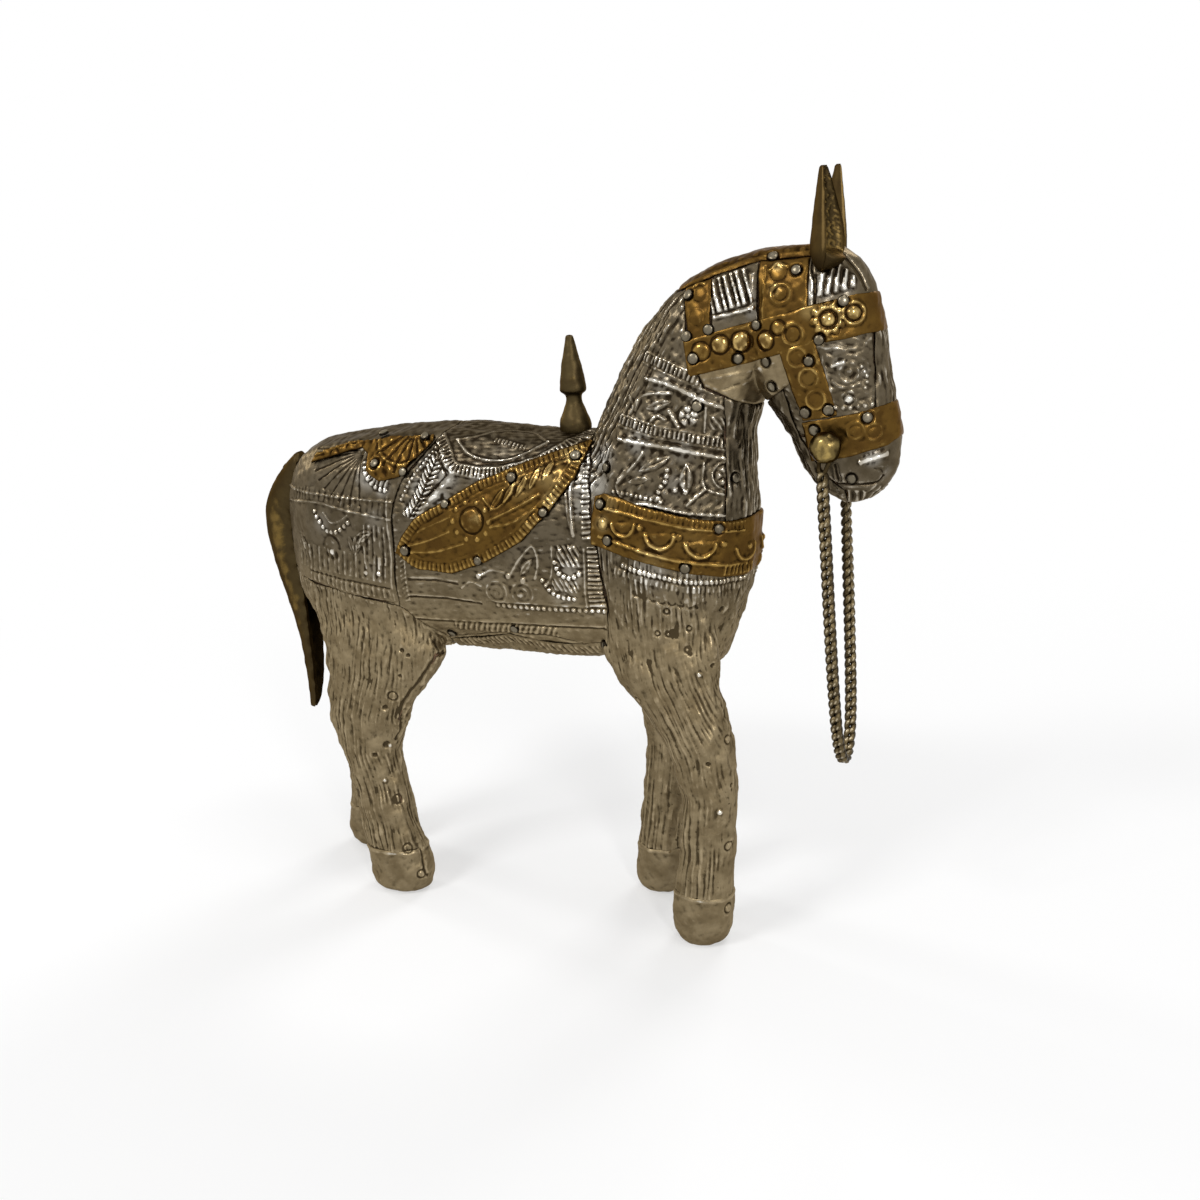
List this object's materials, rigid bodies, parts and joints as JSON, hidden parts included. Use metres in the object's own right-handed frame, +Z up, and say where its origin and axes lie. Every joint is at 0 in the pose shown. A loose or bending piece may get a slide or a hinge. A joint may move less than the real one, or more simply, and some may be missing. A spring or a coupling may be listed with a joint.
{
  "type": "wooden horse figurine",
  "caption": "Free-standing horse ornament: carved wood clad in embossed white metal and brass sheet, with cast brass ears, saddle finial and tail, and a hanging chain rein.",
  "frame": {"origin": "on the ground under the middle of the figurine without its rein", "axes": "+X towards the horse's head, +Y to its left, +Z up"},
  "size_m": [0.2152, 0.048, 0.2242],
  "materials": {
    "carved_wood": "bare carved hardwood, dark with age",
    "white_metal_sheet": "embossed white metal sheet, tarnished with bright worn ridges",
    "brass_sheet": "embossed brass sheet, aged",
    "cast_brass": "rough cast brass with a dark patina",
    "chain_brass": "brass curb chain, dull",
    "tack_metal": "small nickelled steel tack heads"
  },
  "bodies": {
    "horse": {"wooden_core": "carved_wood", "rump_plate_right": "white_metal_sheet", "barrel_plate_right": "white_metal_sheet", "rump_plate_left": "white_metal_sheet", "barrel_plate_left": "white_metal_sheet", "belly_plate": "white_metal_sheet", "front_leg_sleeve_right": "white_metal_sheet", "front_hoof_cap_right": "white_metal_sheet", "hind_leg_sleeve_right": "white_metal_sheet", "hind_hoof_cap_right": "white_metal_sheet", "front_leg_sleeve_left": "white_metal_sheet", "front_hoof_cap_left": "white_metal_sheet", "hind_leg_sleeve_left": "white_metal_sheet", "hind_hoof_cap_left": "white_metal_sheet", "neck_plate_right": "white_metal_sheet", "neck_plate_left": "white_metal_sheet", "mane_strip": "white_metal_sheet", "throat_strip": "white_metal_sheet", "jowl_plate_right": "white_metal_sheet", "cheek_plate_right": "white_metal_sheet", "poll_rear_right": "brass_sheet", "poll_flutes_right": "white_metal_sheet", "poll_front_right": "brass_sheet", "jowl_plate_left": "white_metal_sheet", "cheek_plate_left": "white_metal_sheet", "poll_rear_left": "brass_sheet", "poll_flutes_left": "white_metal_sheet", "poll_front_left": "brass_sheet", "poll_strip": "brass_sheet", "forelock_plate": "white_metal_sheet", "nose_plate": "white_metal_sheet", "muzzle_cap": "white_metal_sheet", "jaw_strip": "white_metal_sheet", "breast_band": "brass_sheet", "crown_band": "brass_sheet", "noseband": "brass_sheet", "cheek_strap_right": "brass_sheet", "saddle_leaf_right": "brass_sheet", "rump_fan_right": "brass_sheet", "cheek_strap_left": "brass_sheet", "saddle_leaf_left": "brass_sheet", "rump_fan_left": "brass_sheet", "ear_right": "cast_brass", "ear_left": "cast_brass", "saddle_finial": "cast_brass", "tail": "cast_brass", "tail_nail": "tack_metal", "rein_boss_right": "cast_brass", "rein_boss_left": "cast_brass", "tack_saddle_rear_right": "tack_metal", "tack_saddle_rear_left": "tack_metal", "tack_saddle_front_right": "tack_metal", "tack_saddle_front_left": "tack_metal", "tack_saddle_top_right": "tack_metal", "tack_saddle_top_left": "tack_metal", "tack_breast_right": "tack_metal", "tack_breast_left": "tack_metal"},
    "rein": {"rein_chain": "chain_brass", "rein_end_ring_right": "cast_brass", "rein_end_ring_left": "cast_brass"}
  },
  "joints": [
    {"name": "rein_swing", "type": "hinge", "parent": "horse", "child": "rein", "pos_m": [0.08994, 0, 0.1525], "axis": [0, -1, 0], "range_deg": [-12, 100]}
  ]
}
